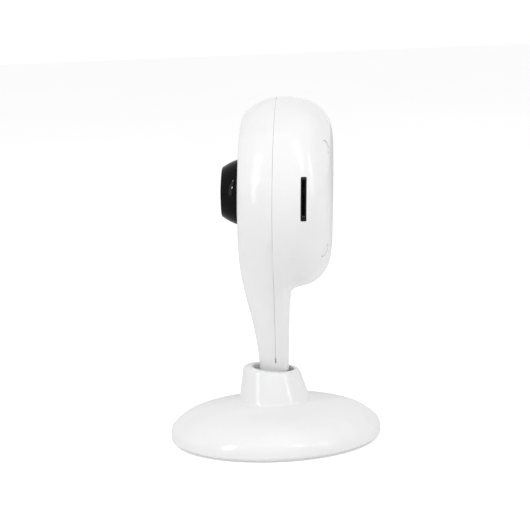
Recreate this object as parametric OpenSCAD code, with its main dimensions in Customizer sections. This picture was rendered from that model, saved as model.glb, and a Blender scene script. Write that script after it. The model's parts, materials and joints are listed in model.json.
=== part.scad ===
// Small indoor security camera: a round head on a tapering neck, held by a
// ball joint in the collar of a weighted round base.
// Millimetres. +Z is up, the lens looks towards -Y, the card slot is on +X.
// The origin is the centre of the base where it meets the table.

/* [Base] */
// Radius of the base disc
base_r = 34; // [33.5:0.1:36]
// Wall of the base moulding
base_wall = 1.8; // [1.6:0.1:2]
// Height where the dome meets the collar
dome_top_z = 12.6; // [12.4:0.1:13]
// Radius where the dome meets the collar
dome_top_r = 12.4; // [12.2:0.1:12.8]
// Height of the collar's lip on its axis
lip_top_z = 23.2; // [23:0.1:23.6]
// Slope of the collar's mouth, down towards the rear, in degrees
lip_slope = 6; // [0:0.5:6.5]
// Radius of the opening in the collar
mouth_r = 6.65; // [6.6:0.05:6.8]
// Thickness of the collar's wall at the lip
lip_wall = 2.4; // [2.2:0.05:2.6]
// How far the outside of the collar leans forward, in degrees
collar_lean = 3; // [0:0.5:4]

/* [Ball joint] */
// Radius of the neck ball
ball_r = 7.4; // [7.3:0.05:7.4]
// Height of the ball's centre
ball_z = 15.5; // [15.4:0.1:15.6]
// How far the head leans back at rest, in degrees
rest_lean = 2.5; // [0:0.5:4]
// Height of the head's centre above the ball's centre, along the neck
head_rise = 64.5; // [64.5:0.1:65]
// Running clearance of turning fits
turn_gap = 0.05; // [0.03:0.01:0.08]

/* [Head shells] */
// Radius of the round head
head_r = 30.4; // [30:0.1:31]
// Wall of the head mouldings
shell_wall = 1.8; // [1.6:0.1:2]
// Depth of the front shell
front_depth = 11.2; // [11.2:0.1:11.6]
// In-plane width of the front shell's rounded shoulder
front_shoulder = 8; // [7.5:0.5:8.5]
// Depth of the rear shell at the middle
rear_depth = 17.8; // [17.8:0.1:18.4]
// In-plane width of the rear shell's rounded shoulder
rear_shoulder = 17.5; // [16.5:0.5:18]
// Radius of the neck where it enters the collar
neck_r = 4.7; // [4.6:0.05:4.8]
// Depth of the neck behind the seam
neck_back = 4.1; // [4:0.05:4.2]

/* [Openings] */
// Height of the memory card slot
slot_h = 13.5; // [13:0.1:14]
// Width of the memory card slot
slot_w = 1.8; // [1.6:0.1:2]
// Distance of the card slot behind the seam
slot_y = 9.5; // [9.4:0.05:9.55]
// Height of the card slot's middle above the head's centre
slot_z = 0.95; // [0:0.05:1]
// Width of the power inlet's opening
inlet_w = 8.6; // [8.4:0.1:9]
// Height of the power inlet's opening
inlet_h = 3.6; // [3.4:0.1:4]
// Radius of each speaker grille hole
grille_r = 0.6; // [0.4:0.05:0.7]

/* [Lens] */
// Radius of the bezel's flange
bezel_r = 10.4; // [10:0.1:11]
// Radius of the bezel at its front edge
bezel_tip_r = 7.9; // [7.7:0.1:8.2]
// How far the bezel stands out of the front shell
bezel_proud = 6.2; // [5.9:0.1:6.4]
// Radius of the lens barrel
barrel_r = 6; // [5.8:0.1:6]

/* [Hidden] */
$fn = 96;

// Neck and outline of the head, in the head's own frame: origin at the
// head's centre on the seam plane, -Y to the front.
neck_y = neck_back - neck_r;      // neck axis, just ahead of the seam
join_angle = 126.3;               // where the neck's sides leave the circle
ring_top_z = -54.3;               // top of the neck's one-piece ring
ring_end_z = ball_r - 0.3 - head_rise;  // foot of the ring, just above the ball
neck_end_z = ring_end_z + 0.3;    // lower end of the front shell's taper
floor_z = -49.5;                  // floor of the hollow inside the neck
neck_foot_w = 4.7;                // half width at the neck's lower end
past_front_y = -14;               // clear of the front face, for cuts
behind_face_y = -9;               // inside the front wall, for cuts
before_rear_y = 12;               // inside the rear wall, for cuts
past_rear_y = 20;                 // clear of the rear face, for cuts

// Mesh of the front shell's skin: rows round the head and down the tail.
arc_rows = 16;
tail_rows = 9;
columns = 20;

// Main board and what stands on it.
board_front_y = 6.8;
board_t = 1.6;
board_rear_y = board_front_y + board_t;
board_r = 25.8;

// Screw places, [x, z] from the head's centre.
head_screw_x = 18;
head_screw_z = 16;
head_screw_places = [for (x = [-head_screw_x, head_screw_x], z = [-head_screw_z, head_screw_z]) [x, z]];
board_screw_places = [[-22, 0], [0, 22.5], [13, -20.5]];
screw_seat_y = 12.2;
screw_cap_t = 1.6;
screw_r = 1.1;
screw_head_r = 2;
hole_gap = 0.02;                  // holes that grip
clear_gap = 0.2;                  // holes that pass freely

// Ball joint and base.
cup_r = 8.8;
cup_low_z = 9;
cup_high_z = 17;
retainer_low_z = 7.2;
retainer_high_z = 8.4;
retainer_r = 14.5;
retainer_screw_ring = 12.2;
base_screw_ring = 17.5;
base_screw_turn = 60;
plate_low_z = 0.9;
plate_high_z = 2.4;
plate_r = 31.8;
spigot_r = 2.4;
stub_r = 4.2;

// ---------- helpers ----------

// Places children in the head's own frame, leaning back on the ball.
module in_head() {
  translate([0, 0, ball_z])
    rotate([-rest_lean, 0, 0])
      translate([0, -neck_y, head_rise])
        children();
}

// Turns a shape whose axis is +Z so that the axis points to the rear, +Y.
module rearward() {
  rotate([-90, 0, 0])
    children();
}

// A round rod along Y, from y0 to y1, at [x, z].
module rod_y(place, y0, y1, r) {
  translate([place[0], y0, place[1]])
    rearward()
      cylinder(r = r, h = y1 - y0);
}

// A block standing on the board's front face, centred on [x, z].
module on_front(place, w, h, t) {
  translate([place[0] - w / 2, board_front_y - t, place[1] - h / 2])
    cube([w, t, h]);
}

// A block standing on the board's rear face, centred on [x, z].
module on_rear(place, w, h, t) {
  translate([place[0] - w / 2, board_rear_y, place[1] - h / 2])
    cube([w, t, h]);
}

// A thin round wire swept through a list of points, as one closed tube.
module wire(points, r) {
  sides = 8;
  last = len(points) - 1;
  rings = [
    for (i = [0 : last])
      let (ahead = points[min(last, i + 1)] - points[max(0, i - 1)],
           along = ahead / norm(ahead),
           side = cross(along, [1, 0, 0]) / norm(cross(along, [1, 0, 0])),
           up = cross(side, along))
      for (k = [0 : sides - 1])
        points[i] + r * (cos(360 * k / sides) * side + sin(360 * k / sides) * up)
  ];
  walls = [
    for (i = [0 : last - 1], k = [0 : sides - 1])
      let (a = i * sides + k, b = i * sides + (k + 1) % sides)
      each [[a, b, b + sides], [a, b + sides, a + sides]]
  ];
  start_cap = [for (k = [sides - 1 : -1 : 0]) k];
  end_cap = [for (k = [0 : sides - 1]) last * sides + k];
  polyhedron(points = rings, faces = concat(walls, [start_cap, end_cap]));
}

// Three equal places on a ring.
module on_ring(ring_r, turn) {
  for (a = [0, 120, 240])
    rotate([0, 0, a + turn])
      translate([ring_r, 0, 0])
        children();
}

// Cubic curve from a to b over span, with slopes at both ends, t from 0 to 1.
function curve(t, a, b, slope_a, slope_b, span) =
  (2 * t * t * t - 3 * t * t + 1) * a + (t * t * t - 2 * t * t + t) * span * slope_a
  + (3 * t * t - 2 * t * t * t) * b + (t * t * t - t * t) * span * slope_b;

function ease(t) = let (c = min(1, max(0, t))) c * c * (3 - 2 * c);

// ---------- outline and depth of the head ----------

join_z = head_r * cos(join_angle);
join_w = head_r * sin(join_angle);
tail_span = join_z - neck_end_z;

// Half width of the teardrop outline at height z.
function half_width(z) =
  z > join_z ? sqrt(max(0, head_r * head_r - z * z))
  : curve((join_z - z) / tail_span, join_w, neck_foot_w, join_z / join_w, -0.12, tail_span);

function width_slope(z) = (half_width(z + 0.05) - half_width(z - 0.05)) / 0.1;

function edge_stretch(z) = sqrt(1 + width_slope(z) * width_slope(z));

// Half width of the outline moved inwards by inset.
function inset_width(z, inset) =
  z > (head_r - inset) * cos(join_angle) ? sqrt(max(0, pow(head_r - inset, 2) - z * z))
  : half_width(z) - inset * edge_stretch(z);

// Depth of the front shell along its middle line.
function middle_depth(z) =
  z > join_z ? front_depth
  : curve((join_z - z) / tail_span, front_depth, neck_r - neck_y, 0, -0.063, tail_span);

// Distance from the outline, inside it.
function edge_distance(x, z, w, r) =
  let (round_part = r - norm([x, z]),
       tail_part = (w - abs(x)) / (z > -2 ? 1 : edge_stretch(z)),
       share = ease((-2 - z) / (-2 - join_z)))
  round_part * (1 - share) + tail_part * share;

// Rise of a shoulder from 0 to 1 over q, from 0 to 1; power 0.5 is a quarter ellipse.
function shoulder(q, power) = pow(max(0, 1 - pow(1 - min(1, max(0, q)), 2)), power);

// The head's shoulder is flatter than an ellipse, and the neck's is one.
function shoulder_power(z) = 0.5 + 0.2 * ease((z + 45) / 25);

function front_y(x, z, inset) =
  let (w = inset_width(z, inset),
       reach = min(front_shoulder - inset, z > -2 ? front_shoulder : w / edge_stretch(z)),
       inside = edge_distance(x, z, w, head_r - inset))
  -(middle_depth(z) - inset) * shoulder(inside / reach, shoulder_power(z));

// ---------- front shell ----------

function row_z(i, r, end_z) =
  i <= arc_rows ? r * cos(join_angle * i / arc_rows)
  : r * cos(join_angle) + (end_z - r * cos(join_angle)) * (i - arc_rows) / tail_rows;

last_row = arc_rows + tail_rows;
skin_points = 1 + last_row * (columns + 1);

function skin(inset, end_z) = [
  [0, 0, head_r - inset],
  for (i = [1 : last_row], j = [0 : columns])
    let (z = row_z(i, head_r - inset, end_z), x = inset_width(z, inset) * sin(180 * j / columns - 90))
    [x, j == 0 || j == columns ? 0 : front_y(x, z, inset), z]
];

function at(layer, i, j) = layer * skin_points + (i == 0 ? 0 : 1 + (i - 1) * (columns + 1) + j);

function skin_faces(layer) = [
  for (i = [0 : last_row - 1], j = [0 : columns - 1])
    each concat(
      [[at(layer, i, j), at(layer, i + 1, j), at(layer, i + 1, j + 1)]],
      i == 0 ? [] : [[at(layer, i, j), at(layer, i + 1, j + 1), at(layer, i, j + 1)]])
];

function backwards(face) = [for (k = [len(face) - 1 : -1 : 0]) face[k]];

rim_faces = [
  for (i = [0 : last_row - 1])
    each [
      [at(0, i, 0), at(1, i, 0), at(1, i + 1, 0)],
      [at(0, i, 0), at(1, i + 1, 0), at(0, i + 1, 0)],
      [at(0, i, columns), at(1, i + 1, columns), at(1, i, columns)],
      [at(0, i, columns), at(0, i + 1, columns), at(1, i + 1, columns)]
    ]
];

end_faces = [
  [for (j = [0 : columns]) at(0, last_row, j)],
  [for (j = [columns : -1 : 0]) at(1, last_row, j)],
  [at(0, last_row, 0), at(1, last_row, 0), at(1, last_row, columns), at(0, last_row, columns)]
];

module front_skin() {
  polyhedron(
    points = concat(skin(0, neck_end_z), skin(shell_wall, floor_z)),
    faces = concat(skin_faces(0), [for (f = skin_faces(1)) backwards(f)], rim_faces, end_faces));
}

module spigot_bore() {
  translate([0, neck_y, ring_end_z - 1])
    cylinder(r = spigot_r + turn_gap, h = floor_z - ring_end_z + 2);
}

module front_shell() {
  boss_base_y = -8.2;
  boss_top_y = 0.9;
  boss_r = 2.9;
  boss_root_y = shell_wall - front_depth - 0.2;
  boss_root_r = 1.6;
  post_base_y = -9.8;
  post_r = 2.2;
  color("white")
    in_head()
      difference() {
        union() {
          front_skin();
          translate([0, neck_y, ring_end_z])
            cylinder(r1 = neck_r - 0.35, r2 = neck_r, h = ring_top_z - ring_end_z);
          for (p = head_screw_places) {
            rod_y(p, boss_base_y, boss_top_y, boss_r);
            rod_y(p, boss_root_y, boss_base_y + 0.1, boss_root_r);
          }
          for (p = board_screw_places)
            rod_y(p, post_base_y, board_front_y, post_r);
        }
        rod_y([0, 0], past_front_y, behind_face_y, bezel_seat_r + 0.05);
        rod_y([0, 0], past_front_y, flange_seat_y, bezel_r + 0.05);
        rod_y(pipe_place, past_front_y, behind_face_y, pipe_r + 0.05);
        rod_y(microphone_place, past_front_y, behind_face_y, sound_hole_r);
        spigot_bore();
        for (p = head_screw_places)
          rod_y(p, -6, boss_top_y + 1, screw_r + hole_gap);
        for (p = board_screw_places)
          rod_y(p, 0, board_front_y + 1, screw_r + hole_gap);
      }
}

// ---------- rear shell ----------

// Outline of the round rear bulge, turned about the head's axis: its shoulder
// is a cubic superellipse, fuller than a quarter circle.
module puck_profile(inset, low_y) {
  steps = 18;
  r = head_r - inset;
  s = rear_shoulder - inset;
  polygon([
    [0, low_y],
    [r, low_y],
    for (i = [(low_y < 0 ? 0 : 1) : steps])
      let (a = 90 * i / steps)
      [r - s + s * pow(cos(a), 2 / 3), (rear_depth - inset) * pow(sin(a), 2 / 3)],
    [0, rear_depth - inset]
  ]);
}

module puck(inset, low_y) {
  rearward()
    rotate_extrude()
      puck_profile(inset, low_y);
}

function back_edge(z) = neck_back + 0.6 * ease((z + 40) / 12);

function back_slice(z, inset, low_y) =
  let (w = inset_width(z, inset), d = back_edge(z) - inset)
  [
    for (j = [0 : 12])
      let (across = sin(15 * j - 90))
      [w * across, low_y + (d - low_y) * shoulder(1 - abs(across), 0.5), z]
  ];

// Rear half of the neck, from high_z down to low_z.
module neck_rear(inset, high_z, low_z, low_y) {
  steps = 10;
  slice_size = 13;
  slices = [for (i = [0 : steps]) back_slice(high_z + (low_z - high_z) * i / steps, inset, low_y)];
  polyhedron(
    points = [for (s = slices) each s],
    faces = [
      [for (j = [0 : slice_size - 1]) j],
      [for (j = [slice_size - 1 : -1 : 0]) steps * slice_size + j],
      for (i = [0 : steps - 1], j = [0 : slice_size - 1])
        let (k = (j + 1) % slice_size, a = i * slice_size, b = a + slice_size)
        each [[a + k, a + j, b + j], [a + k, b + j, b + k]]
    ]);
}

// Round patch of small holes in front of the speaker.
module grille_holes() {
  pitch = 3;
  for (row = [-2 : 2], col = [-2 : 2])
    if (norm([col, row]) < 2.3)
      rod_y([col * pitch, speaker_place[1] + row * pitch], rear_depth - 3, past_rear_y, grille_r);
}

module rear_shell() {
  boss_low_y = 1;
  boss_high_y = 15;
  boss_r = 3;
  color("white")
    in_head()
      difference() {
        union() {
          difference() {
            union() {
              puck(0, 0);
              neck_rear(0, -14, ring_top_z + 0.12, 0);
            }
            puck(shell_wall, -1);
            neck_rear(shell_wall * 0.9, -13, floor_z, -0.5);
          }
          intersection() {
            puck(0.3, 0);
            for (p = head_screw_places)
              rod_y(p, boss_low_y, boss_high_y, boss_r);
          }
        }
        spigot_bore();
        for (p = head_screw_places) {
          rod_y(p, 0, past_rear_y, screw_r + clear_gap);
          rod_y(p, screw_seat_y, past_rear_y, screw_head_r + clear_gap);
        }
        translate([20, slot_y - slot_w / 2, slot_z - slot_h / 2])
          cube([12, slot_w, slot_h]);
        translate([inlet_place[0] - inlet_w / 2, before_rear_y, inlet_place[1] - inlet_h / 2])
          cube([inlet_w, past_rear_y - before_rear_y, inlet_h]);
        rod_y(button_place, before_rear_y, past_rear_y, button_r + 0.1);
        grille_holes();
      }
}

// A screw with a cross recess, its head seated at seat_y and facing the rear.
module screw_y(place, seat_y, tip_y, cap_t) {
  rod_y(place, tip_y, seat_y, screw_r);
  difference() {
    rod_y(place, seat_y, seat_y + cap_t, screw_head_r);
    translate([place[0], seat_y + cap_t, place[1]])
      for (turn = [0, 90])
        rotate([0, turn, 0])
          cube([screw_head_r * 1.2, cap_t, 0.5], center = true);
  }
}

module head_screws() {
  color("silver")
    in_head()
      for (p = head_screw_places)
        screw_y(p, seat_y = screw_seat_y, tip_y = -5, cap_t = screw_cap_t);
}

// White plugs that hide the four screws, a little below the shell's surface.
module screw_plugs() {
  color("white")
    in_head()
      intersection() {
        puck(0.25, 0);
        for (p = head_screw_places)
          rod_y(p, screw_seat_y + screw_cap_t + 0.1, past_rear_y, screw_head_r + 0.1);
      }
}

// ---------- base ----------

// Outer height of the dome at a share u of the way from the collar to the rim.
function dome_z(u) = dome_top_z - 4.2 * u - 3.5 * pow(u, 6);

dome_span = base_r - 0.4 - dome_top_r;
rim_low_z = 0.5;

// Outside of the disc and dome, up to the foot of the collar.
module dome_profile() {
  rim_high_z = 3.5;
  polygon([
    [0, rim_low_z],
    [base_r - 0.9, rim_low_z],
    [base_r - 0.25, rim_low_z + 0.25],
    [base_r, rim_low_z + 0.9],
    [base_r, rim_high_z],
    for (i = [12 : -1 : 0]) [dome_top_r + dome_span * i / 12, dome_z(i / 12)],
    [dome_top_r - 0.65, dome_top_z + 0.3],
    [dome_top_r - 1.15, dome_top_z + 0.9],
    [dome_top_r - 1.8, dome_top_z + 1.5],
    [0, dome_top_z + 1.5]
  ]);
}

// Hollow under the dome, the seat of the cup and ball, and the collar's mouth.
module hollow_profile() {
  polygon([
    [0, rim_low_z - 1],
    [base_r - base_wall, rim_low_z - 1],
    [base_r - base_wall, rim_low_z + 1.5],
    for (i = [12 : -1 : 1]) [dome_top_r + (dome_span - 1.6) * i / 12, dome_z(i / 12) - base_wall],
    [cup_r + 1.45, retainer_high_z + 0.1],
    [cup_r + turn_gap, retainer_high_z + 0.1],
    [cup_r + turn_gap, cup_high_z + 0.3],
    [ball_r, ball_z + 1.8],
    [ball_r - 0.35, ball_z + 2.8],
    [mouth_r, ball_z + sqrt(pow(ball_r + 0.15, 2) - mouth_r * mouth_r)],
    [mouth_r, lip_top_z + 5],
    [0, lip_top_z + 5]
  ]);
}

// Outside of the collar, a cone that leans forward a little.
module collar_cone() {
  taper = 0.235;
  foot_z = dome_top_z - 0.6;
  top_z = lip_top_z + 2;
  lip_r = mouth_r + lip_wall;
  translate([0, 0, foot_z])
    rotate([collar_lean, 0, 0])
      cylinder(
        r1 = lip_r + taper * (lip_top_z - foot_z),
        r2 = lip_r - taper * (top_z - lip_top_z),
        h = top_z - foot_z);
}

module base_shell() {
  boss_r = 2.2;
  boss_h = 8.2;
  post_r = 2.1;
  post_h = 3.2;
  color("white")
    difference() {
      union() {
        difference() {
          union() {
            rotate_extrude()
              dome_profile();
            collar_cone();
          }
          rotate_extrude()
            hollow_profile();
        }
        on_ring(base_screw_ring, base_screw_turn)
          translate([0, 0, plate_high_z])
            cylinder(r = boss_r, h = boss_h);
        on_ring(retainer_screw_ring, 0)
          translate([0, 0, retainer_high_z])
            cylinder(r = post_r, h = post_h);
      }
      translate([0, 0, lip_top_z])
        rotate([-lip_slope, 0, 0])
          translate([-15, -15, 0])
            cube([30, 30, 10]);
      on_ring(base_screw_ring, base_screw_turn)
        translate([0, 0, plate_high_z - 1])
          cylinder(r = screw_r + hole_gap, h = boss_h - 2.2);
      on_ring(retainer_screw_ring, 0)
        translate([0, 0, retainer_high_z - 1])
          cylinder(r = screw_r + hole_gap, h = post_h + 0.5);
    }
}

module base_plate() {
  color("whitesmoke")
    difference() {
      translate([0, 0, plate_low_z])
        cylinder(r = plate_r, h = plate_high_z - plate_low_z);
      on_ring(base_screw_ring, base_screw_turn) {
        cylinder(r = screw_r + clear_gap, h = 5);
        cylinder(r = screw_head_r + clear_gap, h = plate_low_z + 0.7);
      }
    }
}

module ballast_ring() {
  outer_r = 29.5;
  inner_r = 20.2;
  thickness = 3;
  color("slategray")
    difference() {
      translate([0, 0, plate_high_z])
        cylinder(r = outer_r, h = thickness);
      cylinder(r = inner_r, h = 10);
    }
}

module base_pad() {
  outer_r = 30.5;
  inner_r = 22;
  color("dimgray")
    difference() {
      cylinder(r = outer_r, h = plate_low_z);
      translate([0, 0, -1])
        cylinder(r = inner_r, h = 3);
    }
}

// A screw with a cross recess, its head at the bottom from low_z up.
module screw_z(low_z, cap_t, tip_z) {
  translate([0, 0, low_z + cap_t])
    cylinder(r = screw_r, h = tip_z - low_z - cap_t);
  difference() {
    translate([0, 0, low_z])
      cylinder(r = screw_head_r, h = cap_t);
    for (turn = [0, 90])
      rotate([0, 0, turn])
        translate([0, 0, low_z])
          cube([screw_head_r * 1.2, 0.5, cap_t], center = true);
  }
}

module base_screws() {
  color("silver")
    on_ring(base_screw_ring, base_screw_turn)
      screw_z(low_z = plate_low_z - 0.6, cap_t = 1.3, tip_z = 7);
}

module cup_retainer() {
  color("gainsboro")
    difference() {
      translate([0, 0, retainer_low_z])
        cylinder(r = retainer_r, h = retainer_high_z - retainer_low_z);
      cylinder(r = 4.6, h = 10);
      on_ring(retainer_screw_ring, 0)
        cylinder(r = screw_r + clear_gap, h = 10);
    }
}

module cup_spring() {
  color("silver")
    difference() {
      translate([0, 0, retainer_high_z])
        cylinder(r = 8.6, h = cup_low_z - retainer_high_z - 0.04);
      cylinder(r = 5.4, h = 10);
    }
}

module retainer_screws() {
  color("silver")
    on_ring(retainer_screw_ring, 0)
      screw_z(low_z = retainer_low_z - 1.3, cap_t = 1.3, tip_z = 10.9);
}

// ---------- ball joint ----------

module ball_cup() {
  color("gainsboro")
    difference() {
      translate([0, 0, cup_low_z])
        cylinder(r = cup_r, h = cup_high_z - cup_low_z);
      translate([0, 0, ball_z])
        sphere(r = ball_r + turn_gap);
    }
}

module neck_ball() {
  color("white")
    in_head()
      translate([0, neck_y, 0])
        difference() {
          union() {
            translate([0, 0, -head_rise])
              sphere(r = ball_r);
            translate([0, 0, -head_rise])
              cylinder(r = stub_r, h = head_rise + ring_end_z - 0.1);
            translate([0, 0, -head_rise])
              cylinder(r = spigot_r, h = head_rise + floor_z + 0.1);
          }
          translate([0, 0, floor_z - 6])
            cylinder(r = 0.8 + hole_gap, h = 10);
          translate([0, 0, -head_rise - ball_r - 1])
            cylinder(r = 3, h = 4);
        }
}

module spigot_washer() {
  color("silver")
    in_head()
      translate([0, neck_y, floor_z + 0.12])
        difference() {
          cylinder(r = 2.8, h = 0.5);
          translate([0, 0, -1])
            cylinder(r = 0.85, h = 3);
        }
}

module spigot_screw() {
  color("silver")
    in_head()
      translate([0, neck_y, floor_z + 0.62]) {
        cylinder(r = 1.9, h = 1.2);
        translate([0, 0, -6])
          cylinder(r = 0.8, h = 6);
      }
}

// ---------- lens ----------

bezel_seat_r = 8.4;
flange_seat_y = 0.3 - front_depth;
bezel_tip_y = -front_depth - bezel_proud;
window_r = 6.9;
barrel_front_y = bezel_tip_y + 1.8;
barrel_rear_y = 3;
element_seat = 3;
front_element_r = 4.55;
rear_element_r = 4;
filter_front_y = barrel_rear_y + 0.6;

module lens_bezel() {
  flange_front_y = -front_depth - 1.5;
  window_seat_y = bezel_tip_y + 1.4;
  color("black")
    in_head()
      rearward()
        rotate_extrude()
          polygon([
            [barrel_r + 0.3, -9.8],
            [bezel_seat_r, -9.8],
            [bezel_seat_r, flange_seat_y],
            [bezel_r, flange_seat_y],
            [bezel_r, flange_front_y],
            [bezel_tip_r, bezel_tip_y],
            [window_r + 0.05, bezel_tip_y],
            [window_r + 0.05, window_seat_y],
            [barrel_r + 0.3, window_seat_y]
          ]);
}

module lens_window() {
  steps = 6;
  crown = 0.7;
  color([0.1, 0.1, 0.15, 0.5])
    in_head()
      rearward()
        rotate_extrude()
          polygon([
            for (i = [0 : steps])
              [window_r * i / steps, bezel_tip_y - 0.6 + crown * pow(i / steps, 2)],
            [window_r, bezel_tip_y + 1.4],
            [0, bezel_tip_y + 1.4]
          ]);
}

module lens_barrel() {
  bore_r = 3.2;
  color("black")
    in_head()
      difference() {
        rod_y([0, 0], barrel_front_y, barrel_rear_y, barrel_r);
        rod_y([0, 0], barrel_front_y - 1, barrel_rear_y + 1, bore_r);
        rod_y([0, 0], barrel_front_y - 1, barrel_front_y + element_seat, front_element_r + 0.05);
        rod_y([0, 0], barrel_rear_y - element_seat, barrel_rear_y + 1, rear_element_r);
      }
}

module lens_front_element() {
  dome_r = 9;
  color([0.3, 0.35, 0.6, 0.5])
    in_head()
      intersection() {
        rod_y([0, 0], barrel_front_y + 0.4, barrel_front_y + element_seat, front_element_r);
        translate([0, barrel_front_y + 0.5 + dome_r, 0])
          sphere(r = dome_r);
      }
}

module lens_rear_element() {
  color([0.3, 0.35, 0.6, 0.5])
    in_head()
      rod_y([0, 0], barrel_rear_y - element_seat, barrel_rear_y - 1, rear_element_r);
}

module lens_holder() {
  size = 15;
  cavity = 10;
  holder_front_y = -3;
  color("dimgray")
    in_head()
      difference() {
        on_front([0, 0], size, size, board_front_y - holder_front_y);
        rod_y([0, 0], holder_front_y - 1, filter_front_y, barrel_r + hole_gap);
        on_front([0, 0], cavity, cavity, board_front_y - filter_front_y);
      }
}

module infrared_filter() {
  size = 9.2;
  color([0.7, 0.3, 0.4, 0.5])
    in_head()
      translate([-size / 2, filter_front_y, -size / 2])
        cube([size, 0.5, size]);
}

module image_sensor() {
  color("darkslategray")
    in_head()
      on_front([0, 0], 8.5, 8.5, 1.2);
}

// ---------- main board ----------

module main_board() {
  notch_r = 3.5;
  cut_from_y = board_front_y - 1;
  cut_to_y = board_rear_y + 1;
  color("darkgreen")
    in_head()
      difference() {
        rod_y([0, 0], board_front_y, board_rear_y, board_r);
        for (p = head_screw_places)
          rod_y(p, cut_from_y, cut_to_y, notch_r);
        for (p = board_screw_places)
          rod_y(p, cut_from_y, cut_to_y, screw_r + clear_gap);
      }
}

module board_screws() {
  color("silver")
    in_head()
      for (p = board_screw_places)
        screw_y(p, seat_y = board_rear_y, tip_y = 2, cap_t = 1.1);
}

// The processor, its thermal pad and its heat spreader stand in a stack.
processor_place = [-14, 5.5];
processor_t = 1.1;
thermal_pad_t = 0.6;

module processor() {
  color("black")
    in_head()
      on_front(processor_place, 10, 10, processor_t);
}

module thermal_pad() {
  color("lightblue")
    in_head()
      translate([0, -processor_t, 0])
        on_front(processor_place, 9, 9, thermal_pad_t);
}

module heat_spreader() {
  color("silver")
    in_head()
      translate([0, -processor_t - thermal_pad_t, 0])
        on_front(processor_place, 11, 11, 1);
}

module memory_chip() {
  color("black")
    in_head()
      on_front([14, 6], 8, 10, 1);
}

module flash_chip() {
  color("black")
    in_head()
      on_front([-13, -9], 6, 5, 1.6);
}

module power_coil() {
  color("dimgray")
    in_head()
      on_front([12, -10], 6, 6, 3);
}

module wifi_module() {
  color("silver")
    in_head()
      on_front([0, 14.5], 12, 9, 2);
}

// Antenna strip, bent along the inside of the rear shell's rim.
module wifi_antenna() {
  strip_r = head_r - shell_wall - 0.75;
  color("orange")
    in_head()
      translate([0, 0.9, 0])
        rearward()
          rotate([0, 0, -125])
            rotate_extrude(angle = 70)
              translate([strip_r, 0])
                square([0.3, 5]);
}

module antenna_cable() {
  color("black")
    in_head()
      wire([[5.2, 4.2, 14.5], [5.2, 3.2, 17], [9, 3, 24.5], [9.9, 3, 25.9]], 0.5);
}

card_x = [10.6, 24.6];
card_bay_h = 11.4;

module card_socket() {
  socket_h = 14.6;
  socket_t = 2.1;
  color("silver")
    in_head()
      difference() {
        translate([card_x[0], board_rear_y, slot_z - socket_h / 2])
          cube([card_x[1] - card_x[0], socket_t, socket_h]);
        translate([card_x[0] + 0.6, board_rear_y + 0.5, slot_z - card_bay_h / 2])
          cube([20, 1.1, card_bay_h]);
      }
}

// Black sleeve that lines the slot, from the socket's mouth to just inside the surface.
module card_slot_liner() {
  wall = 0.4;
  end_wall = 0.9;
  color("black")
    in_head()
      difference() {
        intersection() {
          puck(0.35, 0);
          translate([card_x[1] + 0.1, slot_y - slot_w / 2 + 0.03, slot_z - slot_h / 2 + 0.03])
            cube([10, slot_w - 0.06, slot_h - 0.06]);
        }
        translate([card_x[1] - 1, slot_y - slot_w / 2 + wall, slot_z - slot_h / 2 + end_wall])
          cube([12, slot_w - 2 * wall, slot_h - 2 * end_wall]);
      }
}

// The spring-loaded pusher at the back of the socket.
module card_slider() {
  slider_h = card_bay_h - 0.2;
  color("dimgray")
    in_head()
      translate([card_x[0] + 2.2, board_rear_y + 0.6, slot_z - slider_h / 2])
        cube([1.6, 0.9, slider_h]);
}

inlet_place = [0, -15];

module power_inlet() {
  w = 7.6;
  h = 2.8;
  wall = 0.3;
  depth = 8.2;
  color("silver")
    in_head()
      difference() {
        on_rear(inlet_place, w, h, depth);
        translate([0, 1, 0])
          on_rear(inlet_place, w - 2 * wall, h - 2 * wall, depth);
      }
}

button_place = [9, -14];
button_r = 1.6;
switch_t = 2.4;
plunger_r = 0.9;
button_travel = 0.4;
plunger_seat_y = board_rear_y + 1.2;

module reset_switch() {
  color("dimgray")
    in_head()
      difference() {
        on_rear(button_place, 4.5, 4.5, switch_t);
        rod_y(button_place, plunger_seat_y, past_rear_y, plunger_r + 0.1);
      }
}

module reset_button() {
  stem_low_y = plunger_seat_y + button_travel + 0.1;
  cap_low_y = 14;
  color("white")
    in_head() {
      rod_y(button_place, stem_low_y, cap_low_y, plunger_r);
      rod_y(button_place, cap_low_y, rear_depth - 0.5, button_r);
    }
}

speaker_place = [0, 8];
speaker_r = 9.8;
speaker_face_y = 15.4;

module speaker() {
  frame_t = 3.4;
  magnet_t = 1;
  magnet_r = 5;
  frame_low_y = speaker_face_y - frame_t;
  color("black")
    in_head()
      union() {
        rod_y(speaker_place, frame_low_y, speaker_face_y, speaker_r);
        rod_y(speaker_place, frame_low_y - magnet_t, frame_low_y, magnet_r);
      }
}

module speaker_gasket() {
  hole_r = 8.2;
  color("dimgray")
    in_head()
      difference() {
        rod_y(speaker_place, speaker_face_y, rear_depth - shell_wall - 0.2, speaker_r);
        rod_y(speaker_place, speaker_face_y - 0.5, rear_depth, hole_r);
      }
}

module speaker_wires() {
  color("red")
    in_head()
      for (side = [-1, 1])
        wire([[-8 + side, board_rear_y + 0.5, -3], [-8 + side, 10.6, -3], [-6 + side * 0.7, 11.4, 2.6]], 0.4);
}

microphone_place = [9, -17];
microphone_face_y = -8.1;
microphone_back_y = -5.7;
microphone_r = 2;
sound_hole_r = 0.6;

module microphone() {
  color("silver")
    in_head()
      rod_y(microphone_place, microphone_face_y, microphone_back_y, microphone_r);
}

module microphone_boot() {
  wall = 0.8;
  front_t = 1.2;
  color("dimgray")
    in_head()
      difference() {
        rod_y(microphone_place, microphone_face_y - front_t, microphone_back_y - 0.6, microphone_r + wall);
        rod_y(microphone_place, microphone_face_y, microphone_back_y, microphone_r);
        rod_y(microphone_place, past_front_y, microphone_face_y + 0.4, sound_hole_r);
      }
}

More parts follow.
